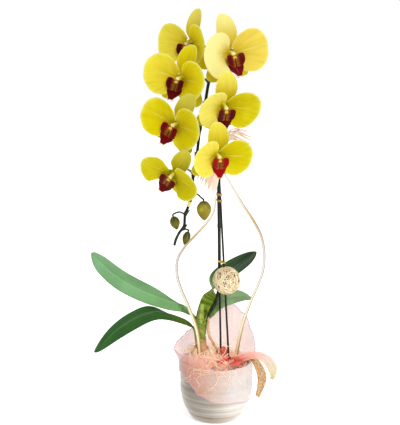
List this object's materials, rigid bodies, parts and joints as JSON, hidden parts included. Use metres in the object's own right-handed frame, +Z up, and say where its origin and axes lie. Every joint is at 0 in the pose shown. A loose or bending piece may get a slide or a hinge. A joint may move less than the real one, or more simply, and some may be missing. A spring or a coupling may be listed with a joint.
{
  "type": "potted orchid",
  "caption": "Potted moth orchid with an arching spike of yellow blooms with crimson lips, strap leaves, stakes, an organza wrap, ribbons, cane strips and a woven ball.",
  "frame": {"origin": "centre of the pot's flat foot, on the surface it stands on", "axes": "+Z up along the pot's axis, -Y towards the front that the blooms face, +X to the right seen from the front"},
  "size_m": [0.2943, 0.2676, 0.6562],
  "materials": {
    "glaze": "gloss",
    "bark": "matte",
    "organza": "satin",
    "stem_skin": "satin",
    "root_skin": "matte",
    "leaf_pale": "satin",
    "leaf_dark": "satin",
    "spike_skin": "satin",
    "petal": "satin",
    "lip": "satin",
    "bud": "satin",
    "stake": "satin",
    "tie_gold": "satin",
    "tie_yellow": "satin",
    "cane": "satin",
    "rattan": "matte",
    "coral": "satin",
    "glitter": "satin",
    "sisal": "matte",
    "straw": "matte"
  },
  "bodies": {
    "root": {"pot": "glaze", "growing_medium": "bark", "organza_wrap": "organza", "stem": "stem_skin", "root_1": "root_skin", "root_2": "root_skin", "root_3": "root_skin", "leaf_upper_left": "leaf_pale", "leaf_lower_left": "leaf_dark", "leaf_upper_right": "leaf_dark", "leaf_lower_right": "leaf_pale", "flower_spike": "spike_skin", "bloom_left_1": "petal", "lip_left_1": "lip", "bloom_right_1": "petal", "lip_right_1": "lip", "bloom_left_2": "petal", "lip_left_2": "lip", "bloom_right_2": "petal", "lip_right_2": "lip", "bloom_left_3": "petal", "lip_left_3": "lip", "bloom_right_3": "petal", "lip_right_3": "lip", "bloom_left_4": "petal", "lip_left_4": "lip", "bud_right": "bud", "bud_left": "bud", "bud_tip": "bud", "stake_right": "stake", "stake_left": "stake", "tie_top": "tie_gold", "tie_upper": "tie_gold", "tie_middle": "tie_yellow", "cane_strip_left": "cane", "cane_strip_right": "cane", "rattan_ball": "rattan", "coral_ribbon": "coral", "glitter_ribbon": "glitter", "straw_bow": "straw", "sisal_tuft": "sisal"}
  },
  "joints": []
}
